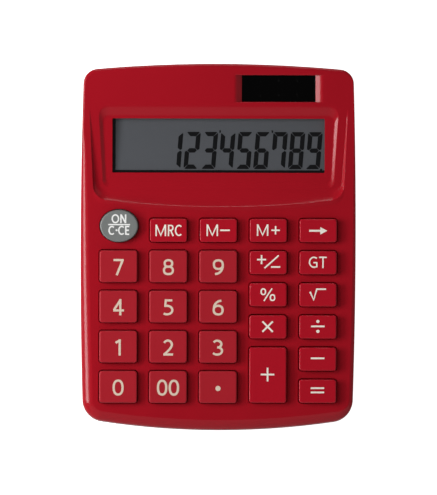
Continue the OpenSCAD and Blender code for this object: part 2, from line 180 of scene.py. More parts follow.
class Shape:
    """Points and faces of one piece while it is being made."""

    def __init__(self, place=deck):
        self.place = place
        self.points = []
        self.given = []
        self.faces = []

    def ring(self, points, place=None):
        """Adds points and returns their numbers."""
        start = len(self.points)
        self.points += [(place or self.place)(*p) for p in points]
        self.given += points
        return list(range(start, len(self.points)))

    def bridge(self, a, b, closed=True):
        """Quads between two rings of as many points."""
        for i in range(len(a) if closed else len(a) - 1):
            j = (i + 1) % len(a)
            self.faces.append((a[i], a[j], b[j], b[i]))

    def loft(self, rings, place=None):
        """A skin over closed rings, given as point lists. Returns the rings' numbers."""
        made = [self.ring(r, place) for r in rings]
        for a, b in zip(made, made[1:]):
            self.bridge(a, b)
        return made

    def fill(self, loops, height=None, step=5.0, place=None):
        """Triangles over the region between nested loops, on a height given by (x, y)."""
        ids = [i for loop in loops for i in loop]
        flat = np.array([self.given[i][:2] for i in ids])
        edges = []
        start = 0
        for loop in loops:
            edges += [(start + i, start + (i + 1) % len(loop)) for i in range(len(loop))]
            start += len(loop)
        ends = flat[np.array(edges)]
        low, high = flat.min(axis=0), flat.max(axis=0)
        counts = [max(2, int((high[k] - low[k]) / step)) for k in (0, 1)]
        inner = [
            (low[0] + (high[0] - low[0]) * i / counts[0], low[1] + (high[1] - low[1]) * j / counts[1])
            for i in range(1, counts[0]) for j in range(1, counts[1])
        ]
        inner = [
            p for p in inner
            if np.min(np.hypot(*(flat - p).T)) > step / 3 and inside(p, ends)
        ]
        z = self.given[loops[0][0]][2]
        ids += self.ring([(x, y, height(x, y) if height else z) for x, y in inner], place)
        coords = [Vector(p) for p in flat] + [Vector(p) for p in inner]
        made = delaunay_2d_cdt(coords, edges, [], 0, 1e-6)
        for face in made[2]:
            middle = sum((made[0][i] for i in face), Vector((0, 0))) / 3
            if inside(middle, ends):
                self.faces.append(tuple(ids[made[3][i][0]] for i in face))

    def lathe(self, x, y, profile, count=32, place=None):
        """A skin turned about an upright axis from (radius, height) pairs; ends stay open."""
        return self.loft([circle(x, y, r, z, count) for r, z in profile], place)

    def close(self, rings):
        """A flat face over the first and the last of the rings."""
        self.faces += [tuple(rings[0]), tuple(rings[-1])]

    def piece(self, name, body, material, slot, replaces=None, sharp=38):
        """Makes the object, with smooth shading that breaks at sharp edges."""
        mesh = bpy.data.meshes.new(name)
        mesh.from_pydata(self.points, [], self.faces)
        work = bmesh.new()
        work.from_mesh(mesh)
        bmesh.ops.remove_doubles(work, verts=work.verts, dist=2e-6)
        bmesh.ops.dissolve_degenerate(work, edges=work.edges, dist=1e-6)
        bmesh.ops.delete(work, geom=[v for v in work.verts if not v.link_faces], context="VERTS")
        bmesh.ops.recalc_face_normals(work, faces=work.faces)
        for face in work.faces:
            face.smooth = True
        for edge in work.edges:
            edge.smooth = len(edge.link_faces) != 2 or edge.calc_face_angle() < math.radians(sharp)
        work.to_mesh(mesh)
        work.free()
        mesh.materials.append(material)
        made = new_object(name, mesh)
        normals = made.modifiers.new("weighted_normals", "WEIGHTED_NORMAL")
        normals.keep_sharp = True
        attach(made, body)
        if replaces:
            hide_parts(replaces)


def inside(point, ends):
    """True where an even-odd count over the edges says that the point is in the region."""
    a, b = ends[:, 0], ends[:, 1]
    crosses = (a[:, 1] > point[1]) != (b[:, 1] > point[1])
    a, b = a[crosses], b[crosses]
    x = a[:, 0] + (point[1] - a[:, 1]) / (b[:, 1] - a[:, 1]) * (b[:, 0] - a[:, 0])
    return np.count_nonzero(x > point[0]) % 2 == 1


def at_heights(plan, heights):
    """A ring of the plan's points at each height."""
    return [[(*p, z) for p in plan] for z in heights]


def circle(x, y, r, z, count=32):
    turns = [2 * math.pi * i / count for i in range(count)]
    return [(x + r * math.cos(a), y + r * math.sin(a), z) for a in turns]


def rounded_rect(x0, x1, y0, y1, front_r, rear_r, corner=6, along_x=6, along_y=5):
    """Points of a rectangle with round corners, anticlockwise from the front of its right side."""
    corners = (
        (x1 - rear_r, y1 - rear_r, rear_r, 0),
        (x0 + rear_r, y1 - rear_r, rear_r, 90),
        (x0 + front_r, y0 + front_r, front_r, 180),
        (x1 - front_r, y0 + front_r, front_r, 270),
    )
    arcs = []
    for x, y, r, start in corners:
        turns = [math.radians(start + 90 * i / corner) for i in range(corner + 1)]
        arcs.append([(x + r * math.cos(a), y + r * math.sin(a)) for a in turns])
    points = []
    for i, arc in enumerate(arcs):
        before, count = arcs[i - 1][-1], along_x if i % 2 else along_y
        points += [
            (mix(before[0], arc[0][0], k / count), mix(before[1], arc[0][1], k / count))
            for k in range(1, count)
        ]
        points += arc
    return points


def corner_centre(a, ra, b, rb):
    """Centre of the corner arc that touches a side arc and an end arc from inside."""
    along = b - a
    d = along.length
    u = along / d
    t = (ra * ra - rb * rb + d * d) / (2 * d)
    return a + t * u + math.sqrt(ra * ra - t * t) * Vector((-u.y, u.x))


def quarter_outline(end_r, corner_r, end_xs):
    """(x, y, way out) along one quarter of the body's outline, from the side to the end."""
    a = Vector((BODY_W / 2 - SIDE_R, 0))
    b = Vector((0, BODY_L / 2 - end_r))
    c = corner_centre(a, SIDE_R - corner_r, b, end_r - corner_r)
    side_turn = math.atan2(c.y - a.y, c.x - a.x)
    end_turn = math.atan2(c.y - b.y, c.x - b.x)
    turns = [(a, SIDE_R, side_turn * i / 14) for i in range(14)]
    turns += [(c, corner_r, mix(side_turn, end_turn, i / 10)) for i in range(10)]
    turns += [(b, end_r, end_turn)]
    turns += [(b, end_r, math.acos(x / end_r)) for x in end_xs]
    return [
        (m.x + r * math.cos(t), m.y + r * math.sin(t), math.cos(t), math.sin(t))
        for m, r, t in turns
    ]


def whole_outline():
    """The body's outline with the way out at each point, anticlockwise.

    The ends have a column of points at each edge of the battery door and its guide slots.
    """
    low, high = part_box("battery_cover")
    door = [high.x / MM - DOOR_LIP + DOOR_GAP, low.x / MM + DOOR_LIP - DOOR_GAP]
    near, far = -door[0], -door[1]
    slots = [far + DOOR_LIP, far, mix(far, near, 1 / 3), mix(far, near, 2 / 3), near,
             near - DOOR_LIP, 0.0]
    rear = quarter_outline(REAR_R, REAR_CORNER_R, [42.0, 38.0] + slots)
    front = quarter_outline(FRONT_R, FRONT_CORNER_R, [38.0, 32.0, 26.0, 20.0, 13.0, 6.5, 0.0])
    points = list(rear)
    points += [(-x, y, -u, v) for x, y, u, v in reversed(rear[:-1])]
    points += [(-x, -y, -u, -v) for x, y, u, v in front[1:]]
    points += [(x, -y, u, -v) for x, y, u, v in reversed(front[1:-1])]
    return points


OUTLINE = whole_outline()


def inset_ring(inset, z):
    """The outline moved inwards. Inset and height are numbers, or functions of the outline."""
    ring = []
    for x, y, u, v in OUTLINE:
        d = inset(x, y, u, v) if callable(inset) else inset
        h = z(x, y, u, v) if callable(z) else z
        ring.append((x - d * u, y - d * v, h))
    return ring


# ---- Materials ----


def new_material(name):
    """A material with its nodes and links."""
    made = bpy.data.materials.new(name)
    made.use_nodes = True
    return made, made.node_tree.nodes, made.node_tree.links


def surface(name, colour, roughness, metallic=0.0, spread=0.05, grain=0.25, bump=0.0, gloss=0.5):
    """A material that varies in colour, roughness and relief. Grain and bump are in millimetres."""
    made, nodes, links = new_material(name)
    shader = nodes["Principled BSDF"]
    shader.inputs["Metallic"].default_value = metallic
    shader.inputs["Specular IOR Level"].default_value = gloss
    place = nodes.new("ShaderNodeTexCoord").outputs["Object"]

    def noise(size, detail):
        made_noise = nodes.new("ShaderNodeTexNoise")
        made_noise.inputs["Scale"].default_value = 1 / (size * MM)
        made_noise.inputs["Detail"].default_value = detail
        links.new(place, made_noise.inputs["Vector"])
        return made_noise.outputs["Fac"]

    tone = nodes.new("ShaderNodeMix")
    tone.data_type = "RGBA"
    for end, factor in (("A_Color", 1 - spread), ("B_Color", 1 + spread)):
        shade = next(s for s in tone.inputs if s.identifier == end)
        shade.default_value = (*[clamp(c * factor) for c in colour], 1)
    links.new(noise(28.0, 3.0), tone.inputs["Factor"])
    links.new(next(s for s in tone.outputs if s.type == "RGBA"), shader.inputs["Base Color"])
    rough = nodes.new("ShaderNodeMapRange")
    rough.inputs["To Min"].default_value = clamp(roughness - 0.06)
    rough.inputs["To Max"].default_value = clamp(roughness + 0.06)
    links.new(noise(grain * 6, 4.0), rough.inputs["Value"])
    links.new(rough.outputs["Result"], shader.inputs["Roughness"])
    if bump:
        relief = nodes.new("ShaderNodeBump")
        relief.inputs["Distance"].default_value = bump * MM
        links.new(noise(grain, 2.0), relief.inputs["Height"])
        links.new(relief.outputs["Normal"], shader.inputs["Normal"])
    return made


def clear_material(name):
    """Thin clear sheet: it lets light through and reflects more the flatter it is seen."""
    made, nodes, links = new_material(name)
    nodes.clear()
    through = nodes.new("ShaderNodeBsdfTransparent")
    gloss = nodes.new("ShaderNodeBsdfGlossy")
    gloss.inputs["Roughness"].default_value = 0.12
    facing = nodes.new("ShaderNodeLayerWeight")
    steep = nodes.new("ShaderNodeMath")
    steep.operation = "POWER"
    steep.inputs[1].default_value = 5.0
    share = nodes.new("ShaderNodeMapRange")
    share.inputs["To Min"].default_value = 0.04
    joined = nodes.new("ShaderNodeMixShader")
    links.new(facing.outputs["Facing"], steep.inputs[0])
    links.new(steep.outputs["Value"], share.inputs["Value"])
    links.new(share.outputs["Result"], joined.inputs["Fac"])
    links.new(through.outputs["BSDF"], joined.inputs[1])
    links.new(gloss.outputs["BSDF"], joined.inputs[2])
    links.new(joined.outputs["Shader"], nodes.new("ShaderNodeOutputMaterial").inputs["Surface"])
    return made


SHELL = surface("shell_red_plastic", (0.385, 0.0066, 0.0155), 0.19,
                grain=0.3, bump=0.001, gloss=0.26)
NUMBER = surface("number_key_plastic", (0.418, 0.013, 0.0235), 0.42,
                 grain=0.2, bump=0.002, gloss=0.3)
FUNCTION = surface("function_key_plastic", (0.455, 0.0075, 0.0195), 0.2,
                   grain=0.3, bump=0.001, gloss=0.26)
GREY_KEY = surface("grey_key_plastic", (0.195, 0.205, 0.20), 0.42, grain=0.25, bump=0.004)
NUMBER_INK = surface("number_ink", (0.78, 0.63, 0.50), 0.5, grain=0.15, bump=0.003)
FUNCTION_INK = surface("function_ink", (0.95, 0.90, 0.80), 0.5, grain=0.15, bump=0.003)
WHITE_INK = surface("white_ink", (0.92, 0.92, 0.9), 0.5, grain=0.15, bump=0.003)
LCD_INK = surface("lcd_segments", (0.004, 0.004, 0.005), 0.4, grain=0.2, gloss=0.2)
LCD_GLASS = surface("lcd_glass", (0.107, 0.113, 0.125), 0.35, spread=0.03, grain=0.2)
SOLAR = surface("solar_glass", (0.001, 0.001, 0.001), 0.12, grain=0.4, gloss=0.25)
CLEAR = clear_material("clear_window")
RUBBER = surface("foot_rubber", (0.03, 0.03, 0.032), 0.8, grain=0.2, bump=0.01)

CAD_FINISHES = {
    "lcd_panel": LCD_GLASS,
    "lcd_backing_film": surface("reflective_film", (0.72, 0.74, 0.76), 0.28, 0.9, grain=0.1),
    "lcd_holder": surface("white_plastic", (0.8, 0.79, 0.75), 0.5, grain=0.3, bump=0.005),
    "lcd_ribbon": surface("ribbon_film", (0.62, 0.24, 0.03), 0.3, grain=0.5),
    "solar_leads": surface("red_wire", (0.5, 0.01, 0.01), 0.4, grain=0.3),
    "battery_leads": surface("black_wire", (0.01, 0.01, 0.01), 0.4, grain=0.3),
    "circuit_board": surface("board_laminate", (0.02, 0.16, 0.05), 0.4, spread=0.2, grain=0.6),
    "contact_pads": surface("pad_plating", (0.9, 0.63, 0.25), 0.25, 1.0, grain=0.1),
    "chip_cover": surface("black_resin", (0.012, 0.012, 0.013), 0.2, grain=0.5, bump=0.01),
    "capacitors": surface("capacitor_sleeve", (0.01, 0.02, 0.09), 0.3, grain=0.4),
    "keypad_membrane": surface("silicone", (0.55, 0.56, 0.56), 0.6, grain=0.3, bump=0.01),
    "battery": surface("battery_steel", (0.66, 0.66, 0.68), 0.28, 1.0, grain=0.1, bump=0.002),
    "battery_contact_positive": surface("spring_steel", (0.6, 0.58, 0.52), 0.25, 1.0),
    "case_screws": surface("screw_steel", (0.56, 0.57, 0.6), 0.3, 1.0, grain=0.1, bump=0.002),
}
CAD_FINISHES["battery_holder"] = CAD_FINISHES["lcd_holder"]
CAD_FINISHES["battery_contact_negative"] = CAD_FINISHES["battery_contact_positive"]
CAD_FINISHES["board_screws"] = CAD_FINISHES["case_screws"]


def finish_cad_nodes():
    for node, finish in CAD_FINISHES.items():
        made = frame["nodes"][node]
        for slot in made.material_slots:
            slot.material = finish


# ---- Keys ----

KEYS = [n for n in frame["nodes"] if n.startswith("key_")]
NUMBER_KEYS = ["key_" + n for n in ("0", "00", "1", "2", "3", "4", "5", "6", "7", "8", "9", "point")]
KEY_TOP = deck_box("key_5")[1][2]
KEY_POST_Z = deck_box("key_5")[0][2]


def key_plan(key):
    """Centre and half sizes of a key in the deck's frame."""
    low, high = deck_box(key)
    middle = (low + high) / 2
    half = (high - low) / 2 - KEY_FLANGE
    return middle[0], middle[1], half[0], half[1]


def key_loop(key, grow, z):
    """The key's outline, moved outwards, at one height."""
    x, y, w, l = key_plan(key)
    if key == "key_on_clear":
        turns = [2 * math.pi * i / 60 for i in range(60)]
        return [(x + (w + grow) * math.cos(t), y + (l + grow) * math.sin(t), z) for t in turns]
    w, l, r = w + grow, l + grow, max(KEY_R + grow, KEY_MIN_R)
    return [(*p, z) for p in rounded_rect(x - w, x + w, y - l, y + l, r, r)]


def key_height(key, x, y):
    """Height of a key's slightly dished top above the deck."""
    cx, cy, w, l = key_plan(key)
    dish = KEY_DISH * (1 - clamp(abs(x - cx) / w) ** 2) * (1 - clamp(abs(y - cy) / l) ** 2)
    return KEY_TOP - dish


def key_finish(key):
    """A key's plastic, its slot and the ink of its legend."""
    if key == "key_on_clear":
        return GREY_KEY, "grey_key", WHITE_INK
    if key in NUMBER_KEYS:
        return NUMBER, "number_key", NUMBER_INK
    return FUNCTION, "function_key", FUNCTION_INK


def keycap(key):
    """One key: a dished cap with a rounded rim, a flange under the deck and a post below."""
    shape = Shape()
    flange_top = -WALL - 0.1
    flange_low = flange_top - KEY_FLANGE_T
    rings = [
        key_loop(key, -KEY_WALL, KEY_TOP - KEY_WALL),
        key_loop(key, -KEY_WALL, flange_low),
        key_loop(key, KEY_FLANGE, flange_low),
        key_loop(key, KEY_FLANGE, flange_top),
        key_loop(key, 0, flange_top),
        key_loop(key, 0, 0),
    ]
    for i in range(6):
        turn = math.radians(18 * i)
        rings.append(key_loop(key, -KEY_DRAFT - KEY_ROUND * (1 - math.cos(turn)),
                              KEY_TOP - KEY_ROUND * (1 - math.sin(turn))))
    made = shape.loft(rings)
    shape.fill([made[-1]], lambda x, y: key_height(key, x, y), 1.1)
    x, y, _, _ = key_plan(key)
    post = shape.lathe(x, y, [(KEY_POST_R, KEY_TOP - KEY_WALL), (KEY_POST_R, KEY_POST_Z)], 24)
    shape.fill([made[0], post[0]], step=3.0)
    shape.faces.append(tuple(post[-1]))
    finish, slot, _ = key_finish(key)
    shape.piece(key.replace("key_", "cap_"), key, finish, slot, replaces=key)


# ---- Shells ----


def edge_round(x, y, u, v):
    """Reach of the deck's rounded edge: it grows towards the front, less on the right side."""
    growth = clamp((EDGE_GROWTH_Y - y) / (2 * EDGE_GROWTH_Y)) ** EDGE_GROWTH_POWER
    side = mix(EDGE_REAR, EDGE_FRONT, growth) * (EDGE_RIGHT_SHARE if x > 0 else 1)
    end = EDGE_REAR_END if y > 0 else EDGE_FRONT
    return mix(side, end, v * v)


# Where a display opening has the first of its two half widths, and how far behind it the second
SLANT_Y, SLANT_L = 24, 26.5

# Openings of the display: half width at rear and front, rear and front end, radii at rear and front
RECESS_EDGE = (48.35, 47.2, 53.7, 14.9, 3, 5)
BEZEL_TOP = (45.0, 43.4, 53.3, 21.9, 4.2, 2.5)
BEZEL_FOOT = (43.4, 41.9, 48.7, 24.0, 2.6, 1.5)
BEZEL_FLOOR = (42.9, 41.3, 48.4, 24.9, 3.0, 1.0)
BLOCK_EDGE = (47.6, 46.8, 52.4, 14.7, 3, 4)
OPENING_R = 0.4

# The recess's front edge is bowed, and less so down its slope; its rings part a little at the rear
RECESS_BOW = 1 / 700
BOW_LOSS = 0.75
REAR_STEP = 0.03
# Share of the side steps that is taken back where the recess is shallow, and where that ends
SHALLOW_SHARE, SHALLOW_D = 0.65, 1.6


def display_loop(rear_half, front_half, rear_y, front_y, rear_r, front_r, bow):
    """(x, y, share of the front edge) around the display, with slanting sides and a bowed front."""
    loop = rounded_rect(-rear_half, rear_half, front_y, rear_y, front_r, rear_r, 8, 18, 12)
    points = []
    for x, y in loop:
        front = clamp(1 - (y - front_y) / front_r)
        x *= mix(front_half, rear_half, (y - SLANT_Y) / SLANT_L) / rear_half
        y += bow * x * x * (rear_y - y) / (rear_y - front_y)
        points.append((x, y, front * front * (3 - 2 * front)))
    return points


def recess_plane(y):
    """Height of the recess's sloping floor, level with the deck at its rear."""
    return -max(0.0, RECESS_REAR_Y - y) * RECESS_SLOPE


# Steps from the deck into the recess: how far in and how deep, at the sides and at the front
RECESS_STEPS = (
    (-0.6, 0, -2.3, 0), (-0.3, 0, -1.4, -0.035), (-0.1, 0, -0.6, -0.11), (0, 0, -0.08, -0.175),
    (0.08, 0.03, 0.08, -0.165), (0.2, 0.12, 0.26, -0.09), (0.35, 0.32, 0.45, -0.005),
    (0.6, 0.68, 1.3, 0.22), (0.8, 0.88, 2.4, 0.51), (1.0, 0.97, 3.8, 0.82), (1.3, 1.0, 5.4, 1.0),
)
# Steps down the slanting wall around the display: how far along and how deep, as shares
BEZEL_STEPS = ((0, 0), (0.1, 0.06), (0.25, 0.22), (0.5, 0.5), (0.75, 0.78), (0.9, 0.94), (1, 1))


def bezel_plane(y):
    """Height of the bezel's foot around the window, which rises a little to the rear."""
    return -BEZEL_D + BEZEL_SLOPE * (y - BEZEL_MID_Y)


def display_rings():
    """Loops from the deck over the recess and the bezel down to the window."""
    rings = []
    rear_half, front_half, rear_y, front_y, *radii = RECESS_EDGE
    for i, (side, side_depth, front, front_depth) in enumerate(RECESS_STEPS):
        bow = RECESS_BOW * (1 - BOW_LOSS * clamp(front / RECESS_STEPS[-1][2]))
        loop = display_loop(
            rear_half - side, front_half - side, rear_y - REAR_STEP * i, front_y + front, *radii, bow)
        ring = []
        for x, y, f in loop:
            narrow = side * SHALLOW_SHARE * clamp(1 + recess_plane(y) / SHALLOW_D)
            depth = mix(side_depth, front_depth, f)
            ring.append((x + math.copysign(narrow, x), y, depth * recess_plane(y)))
        rings.append(ring)
    for t, depth in BEZEL_STEPS:
        loop = display_loop(*[mix(a, b, t) for a, b in zip(BEZEL_TOP, BEZEL_FOOT)], 0)
        rings.append([(x, y, mix(recess_plane(y), bezel_plane(y), depth)) for x, y, f in loop])
    rings.append([(x, y, bezel_plane(y)) for x, y, _ in display_loop(*BEZEL_FLOOR, 0)])
    low, high = deck_box("display_window")

    def opening(grow):
        half, rear, front = high[0] - LENS_LIP, high[1] - LENS_LIP, low[1] + LENS_LIP
        radii = OPENING_R, OPENING_R
        return display_loop(half + grow, half + grow, rear + grow, front - grow, *radii, 0)

    for grow, drop in ((0.14, 0), (0.03, 0.04), (0, 0.14)):
        rings.append([(x, y, bezel_plane(y) - drop) for x, y, _ in opening(grow)])
    for grow, z in ((0, LENS_TOP_Z), (LENS_LIP + 0.1, LENS_TOP_Z), (LENS_LIP + 0.1, BLOCK_Z)):
        rings.append([(x, y, z) for x, y, _ in opening(grow)])
    for z in (BLOCK_Z, -WALL):
        rings.append([(x, y, z) for x, y, _ in display_loop(*BLOCK_EDGE, RECESS_BOW)])
    return rings


def solar_recess(shape):
    """The trough of the solar cell with a curved ramp at each end. Returns its top and lower loop."""
    low, high = deck_box("solar_cell")
    cx, cy = (low[0] + high[0]) / 2, (low[1] + high[1]) / 2
    half, side = (high[0] - low[0]) / 2 - SOLAR_LIP_X, (high[1] - low[1]) / 2 - SOLAR_LIP_Y
    ramp = [half + SOLAR_RAMP * (1 - i / 10) for i in range(11)]
    flat = [half - 2 * half * i / 12 for i in range(1, 12)]
    xs = ramp + flat + [-x for x in reversed(ramp)]
    edge = [(side + 0.4, 0), (side + 0.18, -0.05), (side + 0.05, -0.16), (side, -0.34)]
    rows = edge + [(side * (1 - i / 3), -SOLAR_D) for i in range(7)]
    rows += [(-y, z) for y, z in reversed(edge)]

    def trough(x):
        """Height along the trough: each ramp bends down first and then runs straight."""
        t = clamp((half + SOLAR_RAMP - abs(x)) / SOLAR_RAMP)
        curve = t * t / SOLAR_BEND if t < SOLAR_BEND else 2 * t - SOLAR_BEND
        return -SOLAR_D * curve / (2 - SOLAR_BEND)

    grid = [shape.ring([(cx + x, cy + y, max(z, trough(x))) for y, z in rows]) for x in xs]
    first, last = len(ramp) - 1, len(xs) - len(ramp)
    top, bottom = len(edge), len(rows) - len(edge) - 1
    for i in range(len(xs) - 1):
        over_cell = first <= i < last
        for j in range(len(rows) - 1):
            if not (over_cell and top <= j < bottom):
                shape.faces.append((grid[i][j], grid[i + 1][j], grid[i + 1][j + 1], grid[i][j + 1]))
    upper = grid[0] + [g[-1] for g in grid[1:]] + grid[-1][-2::-1] + [g[0] for g in grid[-2:0:-1]]
    lower = grid[first][top:bottom + 1] + [g[bottom] for g in grid[first + 1:last + 1]]
    lower += grid[last][bottom - 1:top - 1:-1] + [g[top] for g in grid[last - 1:first:-1]]
    under = shape.ring([(*shape.given[i][:2], -WALL) for i in lower])
    shape.bridge(lower, under)
    return upper, under


def screw_post(shape, x, y, high):
    """A post with a blind bore from its lower end."""
    bore_end = PART_H + POST_BORE_D
    profile = [(0.01, bore_end), (POST_BORE_R, bore_end), (POST_BORE_R, PART_H), (POST_R, PART_H),
               (POST_R, high)]
    shape.lathe(x, y, profile, 24, level)


def top_shell():
    """The upper shell: sides, deck, display recess, solar recess, key openings and screw posts."""
    shape = Shape()
    rings = [shape.ring(inset_ring(d, z), level)
             for d, z in ((WALL, PART_H), (0.2, PART_H), (0, PART_H + 0.2))]
    for i in range(EDGE_STEPS + 1):
        turn = math.radians(90 * i / EDGE_STEPS)

        def inset(*at, turn=turn):
            return EDGE_DRAFT + edge_round(*at) * (1 - math.cos(turn) ** EDGE_POWER)

        def height(*at, turn=turn):
            return -EDGE_DROP * edge_round(*at) * (1 - math.sin(turn) ** EDGE_POWER)

        rings.append(shape.ring(inset_ring(inset, height)))
    for a, b in zip(rings, rings[1:]):
        shape.bridge(a, b)
    display = shape.loft(display_rings())
    solar_top, solar_low = solar_recess(shape)
    top_loops = [rings[-1], display[0], solar_top]
    under = shape.ring(inset_ring(WALL + 0.8, -WALL))
    shape.bridge(rings[0], under)
    low_loops = [under, display[-1], solar_low]
    rim = ((0.18, 0), (0.05, -0.05), (0, -0.18), (0, -WALL))
    for key in KEYS:
        opening = shape.loft([key_loop(key, KEY_GAP + grow, z) for grow, z in rim])
        top_loops.append(opening[0])
        low_loops.append(opening[-1])
    shape.fill(top_loops)
    shape.fill(low_loops)
    for x, y in screw_places():
        below_deck = 2.9 if abs(y) < 30 else 1.4
        screw_post(shape, x, y, DECK_MID + y * SIN / COS - below_deck)
    shape.piece("top_shell", "housing", SHELL, "shell", replaces="top_case")


def screw_places():
    """Places of the case screws, found as the separate solids of their node."""
    points = [v.co / MM for v in frame["nodes"]["case_screws"].data.vertices]
    places = []
    for p in points:
        group = next((g for g in places if math.hypot(g[0][0] - p.x, g[0][1] - p.y) < 8), None)
        if group is None:
            places.append([(p.x, p.y)])
        else:
            group.append((p.x, p.y))
    centres = [np.array(g) for g in places]
    return [tuple((c.min(axis=0) + c.max(axis=0)) / 2) for c in centres]


def foot_places():
    """Places of the four feet, from the box of their node."""
    low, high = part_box("rubber_feet")
    x, y = high.x / MM - FOOT_R, high.y / MM - FOOT_R
    return [(sx * x, sy * y) for sx in (-1, 1) for sy in (-1, 1)]


def bottom_rings():
    """Outer rings of the lower shell from its floor up to the parting line: inset and height."""
    rings = []
    for i in range(6):
        turn = math.radians(15 * i)
        rings.append((2.0 - LOWER_ROUND * math.sin(turn), BASE_Z + LOWER_ROUND * (1 - math.cos(turn))))
    rings += [(0.6, FLOOR_Z), (0.4, DOOR_TOP_Z + DOOR_GAP), (0.3, PART_H - 0.25), (0.5, PART_H - 0.02)]
    return rings


def bottom_shell():
    """The lower shell, with the door's opening, its guide slots, screw bosses and foot recesses."""
    shape = Shape(level)
    low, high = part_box("battery_cover")
    west, east = low.x / MM + DOOR_LIP - DOOR_GAP, high.x / MM - DOOR_LIP + DOOR_GAP
    front = low.y / MM - DOOR_GAP
    slot_z = DOOR_TOP_Z + DOOR_GAP
    outer = [shape.ring(inset_ring(d, z)) for d, z in bottom_rings()]
    inner = [shape.ring(inset_ring(d, z)) for d, z in
             ((1.9, FLOOR_Z), (2.0, slot_z), (2.1, PART_H - 0.02))]
    columns = range(len(OUTLINE))
    rear = [i for i in columns if OUTLINE[i][1] > BODY_L / 4]
    door = [i for i in rear if west - 0.1 < OUTLINE[i][0] < east + 0.1]
    slot = [i for i in rear if west - DOOR_LIP - 0.1 < OUTLINE[i][0] < east + DOOR_LIP + 0.1]
    floor_row = len(outer) - 4

    def skin(rings, slot_row):
        """Quads between the rings, open at the slot on its row and at the door below it."""
        for row in range(len(rings) - 1):
            gap = door if row < slot_row else slot if row == slot_row else []
            a, b = rings[row], rings[row + 1]
            for i in columns:
                j = (i + 1) % len(OUTLINE)
                if not (i in gap and j in gap):
                    shape.faces.append((a[i], a[j], b[j], b[i]))

    skin(outer, floor_row)
    skin(inner, 0)
    shape.bridge(outer[-1], inner[-1])
    shape.bridge([outer[floor_row + 1][i] for i in slot], [inner[1][i] for i in slot], closed=False)
    slot_low, slot_high = outer[floor_row], outer[floor_row + 1]
    for end in (slot[0], slot[-1]):
        shape.faces.append((slot_low[end], slot_high[end], inner[1][end], inner[0][end]))
    for i, j in ((slot[0], slot[1]), (slot[-2], slot[-1])):
        shape.faces.append((slot_low[i], slot_low[j], inner[0][j], inner[0][i]))
    corners = [(east, front), (west, front)]
    low_corners = shape.ring([(*c, BASE_Z) for c in corners])
    high_corners = shape.ring([(*c, FLOOR_Z) for c in corners])
    shape.bridge(low_corners, high_corners, closed=False)
    for end, corner in ((door[0], 0), (door[-1], 1)):
        shape.faces.append((
            *[ring[end] for ring in outer[:floor_row + 1]], inner[0][end],
            high_corners[corner], low_corners[corner]))

    def around_door(ring, cut):
        """The ring without the door's columns, led round the door's front edge instead."""
        before = [ring[i] for i in columns if i <= door[0]]
        after = [ring[i] for i in columns if i >= door[-1]]
        return before + cut + after

    outside = [around_door(outer[0], low_corners)]
    within = [around_door(inner[0], high_corners)]
    for x, y in screw_places():
        boss = shape.lathe(x, y, [
            (HEAD_R, BASE_Z), (HEAD_R, HEAD_Z), (BOSS_HOLE_R, HEAD_Z), (BOSS_HOLE_R, PART_H - 0.02),
            (BOSS_R, PART_H - 0.02), (BOSS_R, FLOOR_Z)])
        outside.append(boss[0])
        within.append(boss[-1])
    for x, y in foot_places():
        recess = shape.lathe(x, y, [(FOOT_R + 0.1, BASE_Z), (FOOT_R + 0.1, FOOT_RECESS_Z)], 48)
        outside.append(recess[0])
        shape.faces.append(tuple(recess[-1]))
    shape.fill(outside)
    shape.fill(within)
    shape.piece("bottom_shell", "housing", SHELL, "shell", replaces="bottom_case", sharp=32)


def battery_door():
    """The sliding cover: a plate that carries the shell's rear edge, with guide lips and grip ribs."""
    shape = Shape(level)
    low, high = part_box("battery_cover")
    west, east = low.x / MM + DOOR_LIP, high.x / MM - DOOR_LIP
    front = low.y / MM

    def rear_y(x, inset):
        """Rear end of the plate at x, inside the body's outline by the inset."""
        return BODY_L / 2 - REAR_R + math.sqrt((REAR_R - inset) ** 2 - x * x)

    ribs = []
    for i in range(5):
        y = RIB_Y + RIB_PITCH * i
        ribs += [(y, 0), (y + 0.15, RIB_D), (y + 0.85, RIB_D), (y + 1, 0)]
    rib_west, rib_east = west + RIB_INSET + 0.3, east - RIB_INSET - 0.3
    xs = [west, west + 0.3, west + RIB_INSET, rib_west]
    xs += [mix(rib_west, rib_east, i / 4) for i in range(1, 4)]
    xs += [rib_east, east - RIB_INSET, east - 0.3, east]
    sections = []
    for x in xs:
        bevel = 0.25 if x in (west, east) else 0
        rib = 1.0 if rib_west - 0.1 < x < rib_east + 0.1 else 0.0
        section = [(x, front + 0.25, BASE_Z + bevel)]
        section += [(x, y, BASE_Z + max(bevel, rib * depth)) for y, depth in ribs]
        section += [(x, rear_y(x, d), max(z, BASE_Z + bevel)) for d, z in bottom_rings()[:7]]
        section += [(x, rear_y(x, 0.42), DOOR_TOP_Z), (x, front + 1.0, DOOR_TOP_Z),
                    (x, front, DOOR_TOP_Z - 0.8), (x, front, BASE_Z + 0.25 + bevel)]
        sections.append(section)
    shape.close(shape.loft(sections))
    for x0, x1 in ((west - DOOR_LIP, west - 0.01), (east + 0.01, east + DOOR_LIP)):
        plan = [(x0, front + 1.5), (x1, front + 1.5), (x1, rear_y(x1, 1.0)), (x0, rear_y(x0, 1.0))]
        shape.close(shape.loft(at_heights(plan, (FLOOR_Z + 0.15, DOOR_TOP_Z))))
    shape.piece("battery_door", "battery_cover", SHELL, "shell", replaces="battery_cover")


def feet():
    shape = Shape(level)
    for x, y in foot_places():
        profile = [(2.2, 0.0), (3.3, 0.0), (3.65, 0.06), (3.9, 0.22), (FOOT_R, 0.45),
                   (FOOT_R, FOOT_RECESS_Z)]
        shape.close(shape.lathe(x, y, profile, 48))
    shape.piece("feet_pads", "housing", RUBBER, "foot_rubber", replaces="rubber_feet")


# ---- Display and solar cell ----


